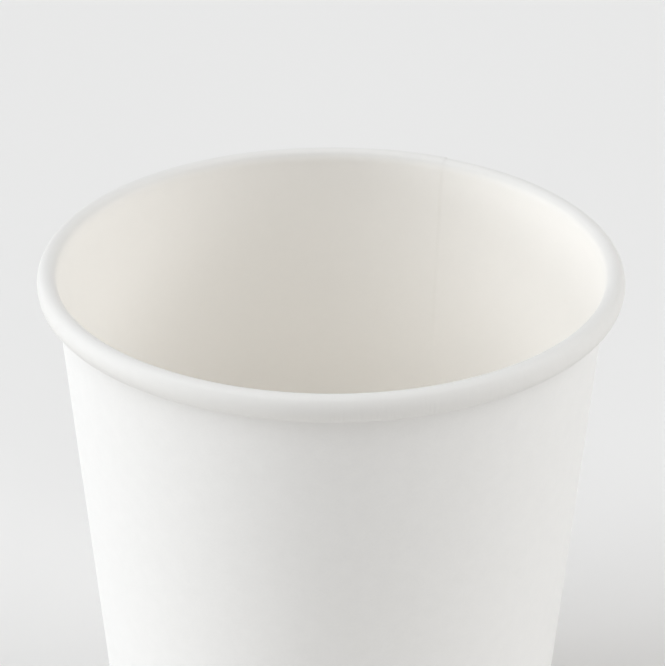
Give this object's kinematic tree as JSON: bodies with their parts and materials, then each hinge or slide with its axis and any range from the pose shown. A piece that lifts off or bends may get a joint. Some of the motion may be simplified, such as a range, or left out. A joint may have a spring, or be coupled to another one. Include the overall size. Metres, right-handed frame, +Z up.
{
  "type": "paper soup container",
  "caption": "White paperboard soup container, open at the top, with a tapered lapped side wall, a rolled rim and a recessed base disc held in a folded foot.",
  "frame": {"origin": "centre of the foot, on the plane that the container stands on", "axes": "+Z up along the container's axis to the open rim; the side seam's inner edge is 64.3 degrees from +X towards +Y"},
  "size_m": [0.098, 0.098, 0.099],
  "materials": {
    "wall_board": "matt uncoated white board outside, smooth satin coating inside and over the rim",
    "base_board": "smooth satin coated white board"
  },
  "bodies": {
    "root": {"side_wall": "wall_board", "base_disc": "base_board"}
  },
  "joints": []
}
